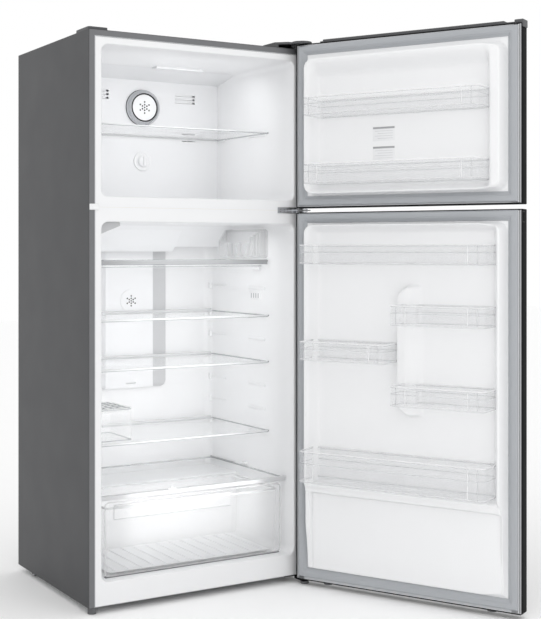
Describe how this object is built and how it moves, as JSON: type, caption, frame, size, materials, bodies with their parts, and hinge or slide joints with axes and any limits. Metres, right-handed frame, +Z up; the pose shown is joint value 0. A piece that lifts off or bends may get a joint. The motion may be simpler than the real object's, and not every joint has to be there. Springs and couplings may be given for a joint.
{
  "type": "top freezer refrigerator",
  "caption": "Top freezer refrigerator with open doors, glass shelves, door bins, a crisper drawer and a cooling unit.",
  "frame": {"origin": "on the floor, at the middle of the footprint with both doors open", "axes": "+Z up, +Y to the back of the cabinet, +X towards the hinge side"},
  "size_m": [1.0852, 1.3079, 1.732],
  "materials": {
    "painted_steel": "satin grey paint on sheet steel",
    "door_steel": "gloss black finish on sheet steel",
    "black_steel": "black paint",
    "zinc_steel": "galvanised sheet",
    "chrome": "polished",
    "aluminium": "bare fins",
    "white_plastic": "white, moulded, soft gloss",
    "grey_plastic": "light grey, satin",
    "dark_plastic": "near black, satin",
    "clear_plastic": "clear polystyrene",
    "shelf_glass": "clear toughened glass",
    "gasket_rubber": "light grey, satin",
    "foam": "rigid insulating foam"
  },
  "bodies": {
    "cabinet": {"cabinet_shell": "painted_steel", "rear_panel": "zinc_steel", "compressor_cover": "dark_plastic", "power_inlet": "dark_plastic", "base_tray": "zinc_steel", "cabinet_foam": "foam", "freezer_liner": "white_plastic", "fridge_liner": "white_plastic", "evaporator_cover": "white_plastic", "vent_ring": "chrome", "vent_disc": "white_plastic", "freezer_light_lens": "clear_plastic", "evaporator_coil": "aluminium", "air_duct_cover": "white_plastic", "duct_panel": "white_plastic", "duct_side_trim": "grey_plastic", "side_lamp_lens": "clear_plastic", "control_housing": "grey_plastic", "compressor": "black_steel", "condenser_coil": "black_steel", "top_hinge": "zinc_steel", "top_hinge_cover": "dark_plastic", "middle_hinge": "chrome", "lower_hinge": "black_steel", "left_hinge_cover": "grey_plastic"},
    "freezer_door": {"freezer_door_skin": "door_steel", "freezer_door_foam": "foam", "freezer_door_liner": "white_plastic", "freezer_door_gasket": "gasket_rubber", "freezer_door_cap": "dark_plastic"},
    "fridge_door": {"fridge_door_skin": "door_steel", "fridge_door_foam": "foam", "fridge_door_liner": "white_plastic", "fridge_door_gasket": "gasket_rubber", "fridge_door_grip": "dark_plastic"},
    "rear_roller_left": {"rear_roller_left": "dark_plastic"},
    "rear_roller_right": {"rear_roller_right": "dark_plastic"},
    "front_foot_left": {"front_foot_left": "grey_plastic"},
    "front_foot_right": {"front_foot_right": "grey_plastic"},
    "freezer_control_knob": {"freezer_control_knob": "white_plastic"},
    "evaporator_fan": {"evaporator_fan": "dark_plastic"},
    "freezer_shelf": {"freezer_shelf": "shelf_glass"},
    "fridge_shelf_1": {"fridge_shelf_1": "shelf_glass"},
    "fridge_shelf_2": {"fridge_shelf_2": "shelf_glass"},
    "fridge_shelf_3": {"fridge_shelf_3": "shelf_glass"},
    "fridge_shelf_4": {"fridge_shelf_4": "shelf_glass"},
    "crisper_cover": {"crisper_cover": "shelf_glass"},
    "humidity_slider": {"humidity_slider": "white_plastic"},
    "crisper_drawer": {"crisper_drawer": "clear_plastic"},
    "storage_box": {"storage_box": "clear_plastic"},
    "egg_tray": {"egg_tray": "clear_plastic"},
    "freezer_bin_upper": {"freezer_bin_upper": "clear_plastic"},
    "freezer_bin_lower": {"freezer_bin_lower": "clear_plastic"},
    "fridge_bin_top": {"fridge_bin_top": "clear_plastic"},
    "fridge_bin_bottom": {"fridge_bin_bottom": "clear_plastic"},
    "fridge_bin_left": {"fridge_bin_left": "clear_plastic"},
    "fridge_bin_right_upper": {"fridge_bin_right_upper": "clear_plastic"},
    "fridge_bin_right_lower": {"fridge_bin_right_lower": "clear_plastic"}
  },
  "joints": [
    {"name": "freezer_door_hinge", "type": "hinge", "parent": "cabinet", "child": "freezer_door", "pos_m": [0.187, 0.008, 1.201], "axis": [0, 0, 1], "range_deg": [-117, 15]},
    {"name": "fridge_door_hinge", "type": "hinge", "parent": "cabinet", "child": "fridge_door", "pos_m": [0.187, 0.008, 0.016], "axis": [0, 0, 1], "range_deg": [-117, 15]},
    {"name": "freezer_shelf_slide", "type": "slide", "parent": "cabinet", "child": "freezer_shelf", "axis": [0, -1, 0], "range_m": [0, 0.135]},
    {"name": "fridge_shelf_1_slide", "type": "slide", "parent": "cabinet", "child": "fridge_shelf_1", "axis": [0, -1, 0], "range_m": [0, 0.15]},
    {"name": "fridge_shelf_2_slide", "type": "slide", "parent": "cabinet", "child": "fridge_shelf_2", "axis": [0, -1, 0], "range_m": [0, 0.15]},
    {"name": "fridge_shelf_3_slide", "type": "slide", "parent": "cabinet", "child": "fridge_shelf_3", "axis": [0, -1, 0], "range_m": [0, 0.15]},
    {"name": "fridge_shelf_4_slide", "type": "slide", "parent": "cabinet", "child": "fridge_shelf_4", "axis": [0, -1, 0], "range_m": [0, 0.15]},
    {"name": "crisper_cover_slide", "type": "slide", "parent": "cabinet", "child": "crisper_cover", "axis": [0, -1, 0], "range_m": [0, 0.055]},
    {"name": "crisper_drawer_slide", "type": "slide", "parent": "cabinet", "child": "crisper_drawer", "axis": [0, -1, 0], "range_m": [0, 0.29]},
    {"name": "humidity_slide", "type": "slide", "parent": "crisper_cover", "child": "humidity_slider", "axis": [1, 0, 0], "range_m": [0, 0.034]},
    {"name": "storage_box_lift", "type": "slide", "parent": "fridge_shelf_4", "child": "storage_box", "axis": [0, 0, 1], "range_m": [0, 0.06]},
    {"name": "egg_tray_lift", "type": "slide", "parent": "storage_box", "child": "egg_tray", "axis": [0, 0, 1], "range_m": [0, 0.04]},
    {"name": "freezer_knob_turn", "type": "hinge", "parent": "cabinet", "child": "freezer_control_knob", "pos_m": [-0.14, 0.517, 1.371], "axis": [0, -1, 0], "range_deg": [-120, 120]},
    {"name": "evaporator_fan_spin", "type": "hinge", "parent": "cabinet", "child": "evaporator_fan", "pos_m": [-0.14, 0.553, 1.554], "axis": [0, -1, 0], "continuous": true},
    {"name": "rear_roller_left_spin", "type": "hinge", "parent": "cabinet", "child": "rear_roller_left", "pos_m": [-0.518, 0.542, 0.01], "axis": [1, 0, 0], "continuous": true},
    {"name": "rear_roller_right_spin", "type": "hinge", "parent": "cabinet", "child": "rear_roller_right", "pos_m": [0.182, 0.542, 0.01], "axis": [1, 0, 0], "continuous": true},
    {"name": "front_foot_left_turn", "type": "hinge", "parent": "cabinet", "child": "front_foot_left", "pos_m": [-0.526, 0.059, 0], "axis": [0, 0, 1], "continuous": true},
    {"name": "front_foot_right_turn", "type": "hinge", "parent": "cabinet", "child": "front_foot_right", "pos_m": [0.185, 0.008, 0], "axis": [0, 0, 1], "continuous": true},
    {"name": "freezer_bin_upper_lift", "type": "slide", "parent": "freezer_door", "child": "freezer_bin_upper", "axis": [0, 0, 1], "range_m": [0, 0.03]},
    {"name": "freezer_bin_lower_lift", "type": "slide", "parent": "freezer_door", "child": "freezer_bin_lower", "axis": [0, 0, 1], "range_m": [0, 0.03]},
    {"name": "fridge_bin_top_lift", "type": "slide", "parent": "fridge_door", "child": "fridge_bin_top", "axis": [0, 0, 1], "range_m": [0, 0.03]},
    {"name": "fridge_bin_bottom_lift", "type": "slide", "parent": "fridge_door", "child": "fridge_bin_bottom", "axis": [0, 0, 1], "range_m": [0, 0.03]},
    {"name": "fridge_bin_left_lift", "type": "slide", "parent": "fridge_door", "child": "fridge_bin_left", "axis": [0, 0, 1], "range_m": [0, 0.03]},
    {"name": "fridge_bin_right_upper_lift", "type": "slide", "parent": "fridge_door", "child": "fridge_bin_right_upper", "axis": [0, 0, 1], "range_m": [0, 0.03]},
    {"name": "fridge_bin_right_lower_lift", "type": "slide", "parent": "fridge_door", "child": "fridge_bin_right_lower", "axis": [0, 0, 1], "range_m": [0, 0.03]}
  ]
}
